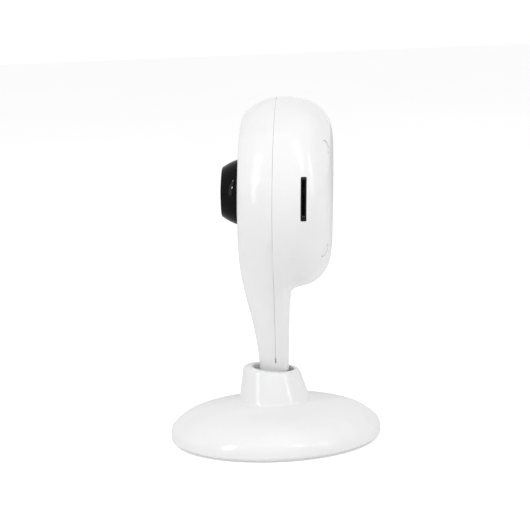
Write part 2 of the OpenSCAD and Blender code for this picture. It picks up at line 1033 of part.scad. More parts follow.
module microphone_wires() {
  color("red")
    in_head()
      for (side = [-1, 1])
        wire([[9 + side, -5.6, -17], [8 + side, 1, -16.6], [7 + side, 6.3, -16]], 0.4);
}

pipe_place = [0, -20];
pipe_r = 1.1;

module status_led() {
  color("lightgreen")
    in_head()
      on_front(pipe_place, 1.6, 0.8, 0.7);
}

module light_pipe() {
  color([0.9, 0.95, 1, 0.6])
    in_head()
      rod_y(pipe_place, front_y(0, pipe_place[1], 0) + 0.05, board_front_y - 0.9, pipe_r);
}

// ---------- the whole camera ----------

base_shell();
base_plate();
ballast_ring();
base_pad();
base_screws();
cup_retainer();
cup_spring();
retainer_screws();
ball_cup();
neck_ball();
spigot_washer();
spigot_screw();
front_shell();
rear_shell();
head_screws();
screw_plugs();
lens_bezel();
lens_window();
lens_barrel();
lens_front_element();
lens_rear_element();
lens_holder();
infrared_filter();
image_sensor();
main_board();
board_screws();
processor();
thermal_pad();
heat_spreader();
memory_chip();
flash_chip();
power_coil();
wifi_module();
wifi_antenna();
antenna_cable();
card_socket();
card_slot_liner();
card_slider();
power_inlet();
reset_switch();
reset_button();
speaker();
speaker_gasket();
speaker_wires();
microphone();
microphone_boot();
microphone_wires();
status_led();
light_pipe();
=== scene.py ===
import json
import math

import bmesh
import bpy
import numpy as np
from mathutils import Matrix, Vector


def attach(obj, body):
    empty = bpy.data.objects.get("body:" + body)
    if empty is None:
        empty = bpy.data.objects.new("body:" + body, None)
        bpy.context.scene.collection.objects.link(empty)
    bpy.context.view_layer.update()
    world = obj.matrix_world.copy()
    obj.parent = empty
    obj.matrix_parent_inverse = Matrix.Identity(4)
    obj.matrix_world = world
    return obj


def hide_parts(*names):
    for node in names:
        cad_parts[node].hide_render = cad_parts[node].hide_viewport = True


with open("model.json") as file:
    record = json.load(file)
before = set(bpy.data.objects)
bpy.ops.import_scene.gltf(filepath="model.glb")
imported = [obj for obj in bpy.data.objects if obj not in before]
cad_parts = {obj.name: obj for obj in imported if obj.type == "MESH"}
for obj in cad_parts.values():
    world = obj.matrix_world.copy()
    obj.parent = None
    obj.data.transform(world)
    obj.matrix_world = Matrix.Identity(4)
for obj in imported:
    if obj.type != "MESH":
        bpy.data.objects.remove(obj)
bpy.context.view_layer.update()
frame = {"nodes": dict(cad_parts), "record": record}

MM = 0.001
record_joints = {j["name"]: j for j in frame["record"]["behaviour"]["joints"]}
ball_centre = Vector(record_joints["swivel"]["pos_m"])
neck_axis = Vector(record_joints["swivel"]["axis"])

# ---------------------------------------------------------------- dimensions

# Head, in its own frame: origin at its centre on the seam plane, -Y forward.
HEAD_R = 30.4
HEAD_RISE = 64.5          # head's centre above the ball's, along the neck
WALL = 1.8
FRONT_DEPTH = 11.2
FRONT_SHOULDER = 8.0
REAR_DEPTH = 17.8
REAR_SHOULDER = 17.5
NECK_R = 4.7
NECK_BACK = 4.1
NECK_Y = NECK_BACK - NECK_R
JOIN_ANGLE = math.radians(126.3)
NECK_END_Z = -57.1
NECK_FOOT_W = 4.7
RING_TOP_Z = -54.3
RING_END_Z = -57.4
FLOOR_Z = -49.5
FILLET = 3.2              # blend between the round bulge and the neck's back
SEAM_GAP = 0.03           # half the gap between the shells
SEAM_CHAMFER = 0.06

# Openings of the rear shell.
SLOT_H = 13.5
SLOT_W = 1.8
SLOT_Y = 9.5
SLOT_Z = 0.95
SCREW_PLACES = [(x, z) for x in (-18, 18) for z in (-16, 16)]
SCREW_HOLE_R = 2.1
SCREW_SEAT_Y = 12.2
SCREW_HEAD_H = 1.6
SCREW_TIP_Y = -5.0
SCREW_R = 1.1
SCREW_HEAD_R = 2.0
INLET = (0.0, -15.0)
BUTTON = (9.0, -14.0)
BUTTON_R = 1.6
INLET_OPENING_W = 8.6
INLET_OPENING_H = 3.6
INLET_W = 7.6
INLET_H = 2.8
INLET_DEPTH = 8.2
SPEAKER = (0.0, 8.0)
GRILLE_PITCH = 3.0
GRILLE_R = 0.6
PIPE = (0.0, -20.0)
PIPE_R = 1.1
MICROPHONE = (9.0, -17.0)
SOUND_HOLE_R = 0.6

# Planes that cutters reach, clear of the walls they cut.
PAST_FRONT_Y = -14
BEHIND_FACE_Y = -9
BEFORE_REAR_Y = 12
PAST_REAR_Y = 20

BOARD_REAR_Y = 8.4

# Lens.
BEZEL_R = 10.4
BEZEL_BULGE = 0.22
BEZEL_TIP_R = 7.9
BEZEL_PROUD = 6.2
BEZEL_FOOT = 1.5          # the straight ring where the bezel meets the face
LENS_HOLE_R = 8.45
BEZEL_TIP_Y = -FRONT_DEPTH - BEZEL_PROUD
WINDOW_R = 6.9
FACE_Y = -FRONT_DEPTH
BARREL_R = 6.0
BARREL_FRONT_Y = BEZEL_TIP_Y + 1.8
BARREL_REAR_Y = 3.0

# Base.
BASE_R = 34.0
BASE_WALL = 1.8
DOME_TOP_Z = 12.6
DOME_TOP_R = 12.4
RIM_LOW_Z = 0.5
LIP_TOP_Z = 23.2
LIP_SLOPE = math.radians(6)
MOUTH_R = 6.65
LIP_WALL = 2.4
COLLAR_LEAN = math.radians(3)
COLLAR_TAPER = 0.235
BALL_R = 7.4
BALL_Z = ball_centre.z / MM

# ---------------------------------------------------------------- mesh tools

head_matrix = (
    Matrix.Translation(ball_centre)
    @ Matrix.Rotation(-math.atan2(neck_axis.y, neck_axis.z), 4, "X")
    @ Matrix.Translation(Vector((0, -NECK_Y, HEAD_RISE)) * MM)
    @ Matrix.Scale(MM, 4)
)
base_matrix = Matrix.Scale(MM, 4)


def new_object(name, points, faces):
    """A mesh object from points in millimetres, not yet placed."""
    mesh = bpy.data.meshes.new(name)
    mesh.from_pydata([tuple(p) for p in points], [], [tuple(f) for f in faces])
    mesh.validate()
    mesh.update()
    obj = bpy.data.objects.new(name, mesh)
    bpy.context.scene.collection.objects.link(obj)
    return obj


def clean(obj, distance=1e-4):
    """Merges doubled points and turns all faces outwards."""
    work = bmesh.new()
    work.from_mesh(obj.data)
    bmesh.ops.remove_doubles(work, verts=work.verts, dist=distance)
    bmesh.ops.dissolve_degenerate(work, edges=work.edges, dist=distance)
    bmesh.ops.recalc_face_normals(work, faces=work.faces)
    work.to_mesh(obj.data)
    work.free()


def lathe(name, profile, steps=128, shear=None):
    """A closed solid turned about Z from a closed outline of (radius, height)."""
    points = []
    for k in range(steps):
        a = 2 * math.pi * k / steps
        for r, z in profile:
            x, y = r * math.cos(a), r * math.sin(a)
            dy, dz = shear(r, y, z) if shear else (0, 0)
            points.append((x, y + dy, z + dz))
    n = len(profile)
    faces = []
    for k in range(steps):
        for i in range(n):
            j = (i + 1) % n
            faces.append((k * n + i, ((k + 1) % steps) * n + i,
                          ((k + 1) % steps) * n + j, k * n + j))
    obj = new_object(name, points, faces)
    clean(obj)
    return obj


def corner(points, index_radius):
    """Rounds corners of an outline: index_radius maps a point's index to its radius."""
    rounded = []
    n = len(points)
    for i, p in enumerate(points):
        radius = index_radius.get(i, 0)
        p = np.array(p, float)
        if not radius:
            rounded.append(tuple(p))
            continue
        before = np.array(points[i - 1], float) - p
        after = np.array(points[(i + 1) % n], float) - p
        len_b, len_a = np.linalg.norm(before), np.linalg.norm(after)
        before, after = before / len_b, after / len_a
        half = math.acos(max(-1, min(1, float(before @ after)))) / 2
        cut = min(radius / math.tan(half), 0.49 * len_b, 0.49 * len_a)
        radius = cut * math.tan(half)
        centre = p + (before + after) / np.linalg.norm(before + after) * radius / math.sin(half)
        start, end = p + before * cut - centre, p + after * cut - centre
        a0 = math.atan2(start[1], start[0])
        turn = math.atan2(end[1], end[0]) - a0
        turn = (turn + math.pi) % (2 * math.pi) - math.pi
        steps = max(3, int(abs(turn) / math.radians(12)))
        for k in range(steps + 1):
            a = a0 + turn * k / steps
            rounded.append((centre[0] + radius * math.cos(a), centre[1] + radius * math.sin(a)))
    return rounded


def boolean(obj, cutter, operation="DIFFERENCE"):
    """Applies a boolean and removes the cutter."""
    modifier = obj.modifiers.new("cut", "BOOLEAN")
    modifier.object = cutter
    modifier.operation = operation
    modifier.solver = "EXACT"
    graph = bpy.context.evaluated_depsgraph_get()
    result = bpy.data.meshes.new_from_object(obj.evaluated_get(graph))
    obj.modifiers.clear()
    old = obj.data
    obj.data = result
    bpy.data.meshes.remove(old)
    bpy.data.objects.remove(cutter, do_unlink=True)


def joined(cutters):
    """One object from several that don't touch, to cut them all at once."""
    work = bmesh.new()
    for cutter in cutters:
        work.from_mesh(cutter.data)
        bpy.data.objects.remove(cutter, do_unlink=True)
    mesh = bpy.data.meshes.new("cutters")
    work.to_mesh(mesh)
    work.free()
    obj = bpy.data.objects.new("cutters", mesh)
    bpy.context.scene.collection.objects.link(obj)
    return obj


def smooth_by_angle(obj, degrees=35):
    """Smooth shading with edges sharper than the angle kept."""
    mesh = obj.data
    mesh.shade_smooth()
    mesh.set_sharp_from_angle(angle=math.radians(degrees))


def turned_to_rear(obj):
    """Turns an object's own Z to +Y, to the rear."""
    obj.data.transform(Matrix.Rotation(math.radians(-90), 4, "X"))


def rod_y(name, place, y0, y1, r, steps=48):
    """A round rod along Y, as a cutter or a simple solid."""
    obj = lathe(name, [(0, y0), (r, y0), (r, y1), (0, y1)], steps)
    turned_to_rear(obj)
    obj.data.transform(Matrix.Translation((place[0], 0, place[1])))
    return obj


def prism_x(name, outline, x0, x1):
    """A prism along X from an outline of (y, z)."""
    n = len(outline)
    points = [(x0, y, z) for y, z in outline] + [(x1, y, z) for y, z in outline]
    faces = [tuple(range(n)), tuple(range(2 * n - 1, n - 1, -1))]
    faces += [(i, (i + 1) % n, n + (i + 1) % n, n + i) for i in range(n)]
    obj = new_object(name, points, faces)
    clean(obj)
    return obj


def prism_y(name, outline, y0, y1):
    """A prism along Y from an outline of (x, z)."""
    obj = prism_x(name, outline, y0, y1)
    obj.data.transform(Matrix(((0, 1, 0, 0), (1, 0, 0, 0), (0, 0, 1, 0), (0, 0, 0, 1))))
    clean(obj)
    return obj


def rounded_box(w, h, r):
    """A rectangle centred on the origin with rounded corners."""
    points = [(-w / 2, -h / 2), (w / 2, -h / 2), (w / 2, h / 2), (-w / 2, h / 2)]
    return corner(points, {i: r for i in range(4)})


def shift(outline, dx, dz):
    return [(x + dx, z + dz) for x, z in outline]


def finish_piece(obj, matrix, body, slot, material, *replaced):
    """Places a piece, and says what it rides on, replaces and is made of."""
    obj.data.transform(matrix)
    obj.data.materials.clear()
    obj.data.materials.append(material)
    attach(obj, body)
    if replaced:
        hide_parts(*replaced)
    return obj


# ---------------------------------------------------------------- head surface

JOIN_Z = HEAD_R * math.cos(JOIN_ANGLE)
JOIN_W = HEAD_R * math.sin(JOIN_ANGLE)


def curve(t, a, b, slope_a, slope_b, span):
    """Cubic from a to b over span, with slopes at both ends, t from 0 to 1."""
    return ((2 * t**3 - 3 * t**2 + 1) * a + (t**3 - 2 * t**2 + t) * span * slope_a
            + (3 * t**2 - 2 * t**3) * b + (t**3 - t**2) * span * slope_b)


def ease(t):
    t = np.clip(t, 0, 1)
    return t * t * (3 - 2 * t)


def half_width(z):
    """Half width of the teardrop outline at height z."""
    z = np.asarray(z, float)
    span = JOIN_Z - NECK_END_Z
    tail = curve((JOIN_Z - z) / span, JOIN_W, NECK_FOOT_W, JOIN_Z / JOIN_W, -0.12, span)
    return np.where(z > JOIN_Z, np.sqrt(np.clip(HEAD_R**2 - z**2, 0, None)), tail)


def edge_stretch(z):
    slope = (half_width(z + 0.05) - half_width(z - 0.05)) / 0.1
    return np.sqrt(1 + slope**2)


def middle_depth(z):
    """Depth of the front shell along its middle line."""
    span = JOIN_Z - NECK_END_Z
    tail = curve((JOIN_Z - z) / span, FRONT_DEPTH, NECK_R - NECK_Y, 0, -0.063, span)
    return np.where(z > JOIN_Z, FRONT_DEPTH, tail)


def edge_distance(x, z):
    """Distance from the outline, positive inside it."""
    round_part = HEAD_R - np.hypot(x, z)
    tail_part = (half_width(z) - np.abs(x)) / np.where(z > -2, 1, edge_stretch(z))
    share = ease((-2 - z) / (-2 - JOIN_Z))
    return round_part * (1 - share) + tail_part * share


def front_field(x, y, z):
    """Negative inside the front half of the head and neck."""
    z = np.asarray(z, float)
    reach = np.where(z > -2, FRONT_SHOULDER,
                     np.minimum(FRONT_SHOULDER, half_width(z) / edge_stretch(z)))
    across = np.maximum(reach - edge_distance(x, z), 0) / reach
    # The head's shoulder is flatter than an ellipse, and the neck's is one.
    power = 0.5 + 0.2 * ease((z + 45) / 25)
    depth = np.abs(y) / middle_depth(z)
    return reach * (np.sqrt(across**2 + depth ** (1 / power)) - 1)


def slab(q_side, q_depth, radius):
    """Distance from a slab with rounded edges."""
    outside = np.hypot(np.maximum(q_side, 0), np.maximum(q_depth, 0))
    return outside + np.minimum(np.maximum(q_side, q_depth), 0) - radius


def blend_union(a, b, k):
    h = np.maximum(k - np.abs(a - b), 0) / k
    return np.minimum(a, b) - h * h * k / 4


def rear_field(x, y, z):
    """Negative inside the rear half: the round bulge blended into the neck's back."""
    z = np.asarray(z, float)
    # A cubic superellipse, fuller than a quarter circle.
    across = np.maximum(np.hypot(x, z) - (HEAD_R - REAR_SHOULDER), 0) / REAR_SHOULDER
    depth = np.maximum(y, 0) / REAR_DEPTH
    bulge = REAR_SHOULDER * (np.cbrt(across**3 + depth**3) - 1)
    back = NECK_BACK + 0.6 * ease((z + 40) / 12)
    radius = np.minimum(back, half_width(z) / edge_stretch(z)) * np.where(z > JOIN_Z, 0.9, 0.98)
    neck = slab(radius - edge_distance(x, z), y - (back - radius), radius)
    fillet = FILLET * ease((-8 - z) / 12) + 0.01
    return blend_union(bulge, neck, fillet)


def both_fields(x, y, z):
    return np.where(y < 0, front_field(x, y, z), rear_field(x, y, z))


def solve_radius(field, angles, z, level, low=0.0, high=45.0):
    """Distance from the middle line to the surface, along each angle at each height."""
    a, h = np.meshgrid(angles, z)
    near, far = np.full(a.shape, low), np.full(a.shape, high)
    for _ in range(44):
        middle = (near + far) / 2
        inside = field(middle * np.sin(a), middle * np.cos(a), h) < level
        near, far = np.where(inside, middle, near), np.where(inside, far, middle)
    return near


def row_heights(r, end_z, dense):
    """Heights of the rows: even steps round the circle, then down the neck."""
    turn = np.linspace(0, JOIN_ANGLE, 110)[1:]
    rows = list(r * np.cos(turn))
    step = 0.5
    z = rows[-1]
    while z - step > end_z + 0.1:
        step = 0.16 if dense[0] < z < dense[1] else 0.5
        z -= step
        rows.append(z)
    rows.append(end_z)
    return np.array(rows)


def half_shell(name, field, side, end_z, inner_end_z, dense):
    """A closed half shell. side is -1 for the front half and 1 for the rear."""
    columns = 97
    spread = np.linspace(-1, 1, columns)
    angles = np.arcsin(np.clip(spread, -1, 1) * 0.999999)
    angles = 0.5 * angles + 0.5 * spread * math.pi / 2
    if side < 0:
        angles = math.pi - angles
    layers = []
    for level, stop_z, top in ((0.0, end_z, HEAD_R), (-WALL, inner_end_z, HEAD_R - WALL)):
        z = row_heights(top, stop_z, dense)
        z = np.concatenate([[top - 1e-4], z])
        radius = solve_radius(field, angles, z, level)
        x = radius * np.sin(angles)
        y = radius * np.cos(angles)
        x[0] = 0
        height = np.repeat(z[:, None], columns, 1)
        if level == 0:
            flat = side * (SEAM_GAP + SEAM_CHAMFER)
            y = np.where(np.abs(y) < abs(flat), flat, y)
            for column, sign in ((0, -1), (-1, 1)):
                rim_x = sign * (np.abs(x[:, column]) - SEAM_CHAMFER)
                rim_x[0] = 0
                rim = np.stack([rim_x, np.full(len(z), side * SEAM_GAP), z], 1)
                rim[0, 2] = top - SEAM_CHAMFER
                if column == 0:
                    left = rim
                else:
                    right = rim
            grid = np.stack([x, y, height], 2)
            grid = np.concatenate([left[:, None], grid, right[:, None]], 1)
        else:
            y[:, 0] = side * SEAM_GAP
            y[:, -1] = side * SEAM_GAP
            grid = np.stack([x, y, height], 2)
        layers.append(grid)
    outer, inner = layers
    points = np.concatenate([outer.reshape(-1, 3), inner.reshape(-1, 3)])
    rows_o, cols_o = outer.shape[:2]
    rows_i, cols_i = inner.shape[:2]
    base_i = rows_o * cols_o
    faces = []
    for i in range(rows_o - 1):
        for j in range(cols_o - 1):
            a = i * cols_o + j
            faces.append((a, a + cols_o, a + cols_o + 1, a + 1))
    for i in range(rows_i - 1):
        for j in range(cols_i - 1):
            a = base_i + i * cols_i + j
            faces.append((a, a + 1, a + cols_i + 1, a + cols_i))
    faces.append(tuple((rows_o - 1) * cols_o + j for j in range(cols_o)))
    faces.append(tuple(base_i + (rows_i - 1) * cols_i + j for j in range(cols_i - 1, -1, -1)))
    for last_o, last_i in ((0, 0), (cols_o - 1, cols_i - 1)):
        loop_o = [i * cols_o + last_o for i in range(rows_o)]
        loop_i = [base_i + i * cols_i + last_i for i in range(rows_i)]
        faces += zip_strips(loop_o, loop_i)
    ends = [(rows_o - 1) * cols_o, rows_o * cols_o - 1,
            base_i + rows_i * cols_i - 1, base_i + (rows_i - 1) * cols_i]
    faces.append(tuple(ends))
    obj = new_object(name, points, faces)
    clean(obj, 2e-4)
    return obj


def zip_strips(loop_a, loop_b):
    """Triangles between two rows of points of different lengths."""
    faces = []
    i = j = 0
    while i < len(loop_a) - 1 or j < len(loop_b) - 1:
        step_a = i < len(loop_a) - 1 and (
            j == len(loop_b) - 1
            or (i + 1) / len(loop_a) <= (j + 1) / len(loop_b))
        if step_a:
            faces.append((loop_a[i], loop_a[i + 1], loop_b[j]))
            i += 1
        else:
            faces.append((loop_a[i], loop_b[j + 1], loop_b[j]))
            j += 1
    return faces


def surface_normals(obj, field, tolerance=0.02):
    """Gives faces that lie on the outer surface the exact normals of its formula."""
    mesh = obj.data
    smooth_by_angle(obj, 30)
    count = len(mesh.vertices)
    places = np.empty(count * 3)
    mesh.vertices.foreach_get("co", places)
    x, y, z = places.reshape(-1, 3).T
    step = 0.02
    gradient = np.stack([
        field(x + step, y, z) - field(x - step, y, z),
        field(x, y + step, z) - field(x, y - step, z),
        field(x, y, z + step) - field(x, y, z - step)], 1) / (2 * step)
    length = np.linalg.norm(gradient, axis=1)
    gradient /= np.maximum(length, 1e-6)[:, None]
    on_surface = np.abs(field(x, y, z)) < tolerance
    current = np.empty(len(mesh.loops) * 3)
    mesh.corner_normals.foreach_get("vector", current)
    normals = current.reshape(-1, 3)
    for polygon in mesh.polygons:
        corners = list(polygon.vertices)
        if not on_surface[corners].all():
            continue
        flat = np.array(polygon.normal)
        if (gradient[corners] @ flat).min() < 0.8:
            continue
        for loop, vertex in zip(polygon.loop_indices, corners):
            normals[loop] = gradient[vertex]
    mesh.normals_split_custom_set([tuple(n) for n in normals])


# ---------------------------------------------------------------- materials


def node_material(name):
    material = bpy.data.materials.new(name)
    material.use_nodes = True
    nodes = material.node_tree.nodes
    shader = nodes["Principled BSDF"]
    return material, nodes, material.node_tree.links, shader


def noise(nodes, links, scale, detail=3.0, roughness=0.5):
    texture = nodes.new("ShaderNodeTexNoise")
    texture.inputs["Scale"].default_value = scale
    texture.inputs["Detail"].default_value = detail
    texture.inputs["Roughness"].default_value = roughness
    places = nodes.new("ShaderNodeTexCoord")
    links.new(places.outputs["Object"], texture.inputs["Vector"])
    return texture.outputs["Fac"]


def ramp(nodes, links, source, low, high, start=0.35, end=0.65):
    node = nodes.new("ShaderNodeValToRGB")
    node.color_ramp.elements[0].position = start
    node.color_ramp.elements[1].position = end
    node.color_ramp.elements[0].color = (*low, 1) if len(low) == 3 else low
    node.color_ramp.elements[1].color = (*high, 1) if len(high) == 3 else high
    links.new(source, node.inputs["Fac"])
    return node.outputs["Color"]


def bump(nodes, links, shader, source, strength, distance):
    node = nodes.new("ShaderNodeBump")
    node.inputs["Strength"].default_value = strength
    node.inputs["Distance"].default_value = distance
    links.new(source, node.inputs["Height"])
    links.new(node.outputs["Normal"], shader.inputs["Normal"])


def plastic(name, low, high, rough_low, rough_high, grain=900.0, grain_depth=0.04,
            specular=0.5, coat=0.0):
    """Moulded plastic: a faint mottle in colour and gloss over a fine orange peel."""
    material, nodes, links, shader = node_material(name)
    links.new(ramp(nodes, links, noise(nodes, links, 60.0), low, high),
              shader.inputs["Base Color"])
    gloss = ramp(nodes, links, noise(nodes, links, 140.0),
                 (rough_low,) * 3, (rough_high,) * 3)
    links.new(gloss, shader.inputs["Roughness"])
    bump(nodes, links, shader, noise(nodes, links, grain, 2.0), grain_depth, 0.00002)
    shader.inputs["Specular IOR Level"].default_value = specular
    shader.inputs["Coat Weight"].default_value = coat
    shader.inputs["Coat Roughness"].default_value = 0.05
    return material


def metal(name, low, high, rough_low, rough_high, scale=500.0):
    material, nodes, links, shader = node_material(name)
    links.new(ramp(nodes, links, noise(nodes, links, scale), low, high),
              shader.inputs["Base Color"])
    gloss = ramp(nodes, links, noise(nodes, links, scale * 2),
                 (rough_low,) * 3, (rough_high,) * 3)
    links.new(gloss, shader.inputs["Roughness"])
    bump(nodes, links, shader, noise(nodes, links, scale * 3), 0.05, 0.00002)
    shader.inputs["Metallic"].default_value = 1.0
    return material


def glass(name, tint_low, tint_high, roughness=0.02, transmission=1.0, ior=1.5):
    material, nodes, links, shader = node_material(name)
    links.new(ramp(nodes, links, noise(nodes, links, 90.0), tint_low, tint_high),
              shader.inputs["Base Color"])
    shader.inputs["Roughness"].default_value = roughness
    shader.inputs["Transmission Weight"].default_value = transmission
    shader.inputs["IOR"].default_value = ior
    return material


white = plastic("white_shell", (0.80, 0.803, 0.80), (0.83, 0.833, 0.83), 0.15, 0.19, 700.0, 0.05)
inner_white = plastic("inner_white", (0.66, 0.66, 0.65), (0.70, 0.70, 0.69), 0.35, 0.45)
gloss_black = plastic("gloss_black", (0.003, 0.003, 0.0035), (0.005, 0.005, 0.0055), 0.04, 0.06,
                      800.0, 0.02, 0.07)
# Near-black for the card slot's sleeve, darker than matte_black: partly the socket's black plastic,
# partly painted shade on the slot's walls.
socket_black_and_shade = plastic("socket_black_and_shade", (0.004, 0.004, 0.004), (0.008, 0.007, 0.006), 0.4, 0.5,
                     1500.0, 0.05, 0.2)
matte_black = plastic("matte_black", (0.014, 0.014, 0.015), (0.022, 0.022, 0.023), 0.5, 0.62,
                      1500.0, 0.15)
chip_black = plastic("chip_black", (0.02, 0.02, 0.022), (0.03, 0.03, 0.032), 0.5, 0.6, 2500.0, 0.2)
board_green = plastic("board_green", (0.01, 0.09, 0.04), (0.015, 0.12, 0.055), 0.3, 0.4)
beige = plastic("beige_connector", (0.10, 0.09, 0.08), (0.14, 0.12, 0.11), 0.45, 0.55)
amber_film = plastic("amber_film", (0.45, 0.20, 0.04), (0.55, 0.26, 0.06), 0.25, 0.35)
pad_blue = plastic("thermal_pad", (0.36, 0.44, 0.5), (0.42, 0.5, 0.56), 0.75, 0.85, 1200.0, 0.3)
grey_rubber = plastic("grey_rubber", (0.10, 0.10, 0.10), (0.14, 0.14, 0.14), 0.7, 0.85, 1800.0, 0.5)
black_wire = plastic("black_wire", (0.02, 0.02, 0.02), (0.03, 0.03, 0.03), 0.35, 0.45)
red_wire = plastic("red_wire", (0.4, 0.02, 0.015), (0.5, 0.03, 0.02), 0.3, 0.4)
steel = metal("steel", (0.5, 0.5, 0.5), (0.6, 0.6, 0.6), 0.25, 0.4)
plated = metal("plated_steel", (0.62, 0.62, 0.6), (0.72, 0.72, 0.7), 0.18, 0.3)
aluminium = metal("aluminium", (0.72, 0.73, 0.74), (0.8, 0.81, 0.82), 0.3, 0.4)
iron = metal("ballast_iron", (0.12, 0.12, 0.12), (0.2, 0.2, 0.2), 0.5, 0.7)
window_glass = glass("window_glass", (0.30, 0.30, 0.32), (0.34, 0.34, 0.36))
lens_glass = glass("lens_glass", (0.55, 0.5, 0.75), (0.65, 0.55, 0.85))
filter_glass = glass("filter_glass", (0.7, 0.35, 0.4), (0.75, 0.4, 0.45))
clear_pipe = glass("clear_pipe", (0.85, 0.9, 0.92), (0.9, 0.94, 0.96), 0.08)

SLOT_MATERIAL = {
    "white_shell": white, "inner_white": inner_white, "gloss_black": gloss_black,
    "matte_black": matte_black, "window_glass": window_glass, "lens_glass": lens_glass,
    "filter_glass": filter_glass, "board_green": board_green, "chip_black": chip_black,
    "thermal_pad": pad_blue, "aluminium": aluminium, "steel": steel, "plated_steel": plated,
    "ballast_iron": iron, "grey_rubber": grey_rubber, "amber_film": amber_film,
    "black_wire": black_wire, "red_wire": red_wire, "clear_pipe": clear_pipe,
    "led_body": clear_pipe, "beige_connector": beige,
}

for entry in frame["record"]["subparts"]:
    node = frame["nodes"][entry["node"]]
    node.data.materials.clear()
    node.data.materials.append(SLOT_MATERIAL[entry["material_slot"]])

# ---------------------------------------------------------------- head pieces


def neck_ring():
    """Rear half of the ring at the neck's foot, which is one piece with the front shell."""
    rows = np.linspace(RING_TOP_Z, RING_END_Z, 12)
    angles = np.linspace(-math.pi / 2, math.pi / 2, 49)
    radius = solve_radius(rear_field, angles, rows, 0)
    x, y = radius * np.sin(angles), radius * np.cos(angles)
    points = []
    for i, z in enumerate(rows):
        points += [(x[i, j], max(y[i, j], 0), z) for j in range(len(angles))]
        points += [(x[i, -1] - 0.6, -1, z), (x[i, 0] + 0.6, -1, z)]
    n = len(angles) + 2
    faces = [tuple(range(n)), tuple(range(len(points) - 1, len(points) - n - 1, -1))]
    for i in range(len(rows) - 1):
        for j in range(n):
            k = (j + 1) % n
            faces.append((i * n + j, i * n + k, (i + 1) * n + k, (i + 1) * n + j))
    obj = new_object("neck_ring", points, faces)
    clean(obj)
    return obj


def seam_notch(side):
    """The small dark notch where the seam ends, near the neck's foot."""
    outline = shift(rounded_box(0.45, 1.7, 0.22), 0.1, RING_TOP_Z + 0.55)
    w = float(half_width(RING_TOP_Z))
    x0, x1 = sorted((side * (w - 0.7), side * (w + 1)))
    return prism_x("notch", outline, x0, x1)


def make_front_shell():
    shell = half_shell("front_shell_skin", front_field, -1, RING_END_Z, FLOOR_Z, (-60, -60))
    boolean(shell, neck_ring(), "UNION")
    boolean(shell, rod_y("cut", (0, 0), PAST_FRONT_Y, BEHIND_FACE_Y, LENS_HOLE_R, 96))
    boolean(shell, joined([
        rod_y("cut", (0, 0), PAST_FRONT_Y, FACE_Y + 0.3, BEZEL_R + 0.08, 96),
        rod_y("cut", PIPE, PAST_FRONT_Y, BEHIND_FACE_Y, PIPE_R + 0.06),
        rod_y("cut", MICROPHONE, PAST_FRONT_Y, BEHIND_FACE_Y, SOUND_HOLE_R),
        seam_notch(-1), seam_notch(1)]))
    surface_normals(shell, both_fields)
    return finish_piece(shell, head_matrix, "head", "white_shell", white, "front_shell")


def make_rear_shell():
    shell = half_shell("rear_shell_skin", rear_field, 1, RING_TOP_Z + 0.03, FLOOR_Z, (-34, -26))
    cutters = [rod_y("cut", place, SCREW_SEAT_Y, PAST_REAR_Y, SCREW_HOLE_R)
               for place in SCREW_PLACES]
    slot = shift(rounded_box(SLOT_W, SLOT_H, 0.35), SLOT_Y, SLOT_Z)
    cutters.append(prism_x("cut", slot, 20, 32))
    inlet = shift(rounded_box(INLET_OPENING_W, INLET_OPENING_H, 0.8), *INLET)
    cutters.append(prism_y("cut", inlet, BEFORE_REAR_Y, PAST_REAR_Y))
    cutters.append(rod_y("cut", BUTTON, BEFORE_REAR_Y, PAST_REAR_Y, BUTTON_R + 0.1))
    for row in range(-2, 3):
        for column in range(-2, 3):
            if math.hypot(column, row) < 2.3:
                place = (SPEAKER[0] + column * GRILLE_PITCH, SPEAKER[1] + row * GRILLE_PITCH)
                cutters.append(rod_y("cut", place, REAR_DEPTH - 3, REAR_DEPTH + 1, GRILLE_R, 24))
    cutters += [seam_notch(-1), seam_notch(1)]
    boolean(shell, joined(cutters))
    surface_normals(shell, rear_field)
    return finish_piece(shell, head_matrix, "head", "white_shell", white, "rear_shell")


def sleeve_x(name, outer, inner, x0, x1):
    """A sleeve along X between two outlines of (y, z), its outer end at x1(y, z)."""
    rings = [[(x0, y, z) for y, z in outer], [(x1(y, z), y, z) for y, z in outer],
             [(x1(y, z), y, z) for y, z in inner], [(x0, y, z) for y, z in inner]]
    n = len(outer)
    points = [p for ring in rings for p in ring]
    faces = []
    for k in range(4):
        for i in range(n):
            j = (i + 1) % n
            m = (k + 1) % 4
            faces.append((k * n + i, k * n + j, m * n + j, m * n + i))
    obj = new_object(name, points, faces)
    clean(obj)
    return obj


def tall_box(w, h, r):
    """A rounded upright rectangle whose long sides are divided, to follow a curve."""
    steps = 12
    points = rounded_box(w, h, r)
    per_corner = len(points) // 4
    heights = np.linspace(-h / 2 + r, h / 2 - r, steps + 1)[1:-1]
    right = [(w / 2, z) for z in heights]
    left = [(-w / 2, z) for z in heights[::-1]]
    return points[:2 * per_corner] + right + points[2 * per_corner:] + left


def make_socket_and_shade_liner():
    """The black sleeve inside the card slot, just below the shell's surface: partly the card socket's
    black plastic, partly painted shade over the slot's white walls.
    """
    def surface_x(y, z):
        rho = HEAD_R - REAR_SHOULDER + REAR_SHOULDER * np.cbrt(1 - (y / REAR_DEPTH) ** 3)
        return math.sqrt(rho**2 - z**2) - 0.12

    outer = shift(tall_box(SLOT_W - 0.04, SLOT_H - 0.04, 0.33), SLOT_Y, SLOT_Z)
    inner = shift(tall_box(SLOT_W - 0.8, SLOT_H - 1.8, 0.2), SLOT_Y, SLOT_Z)
    liner = sleeve_x("slot_socket_and_shade_sleeve", outer, inner, 24.7, surface_x)
    smooth_by_angle(liner, 40)
    return finish_piece(liner, head_matrix, "head", "matte_black", socket_black_and_shade, "card_slot_liner")


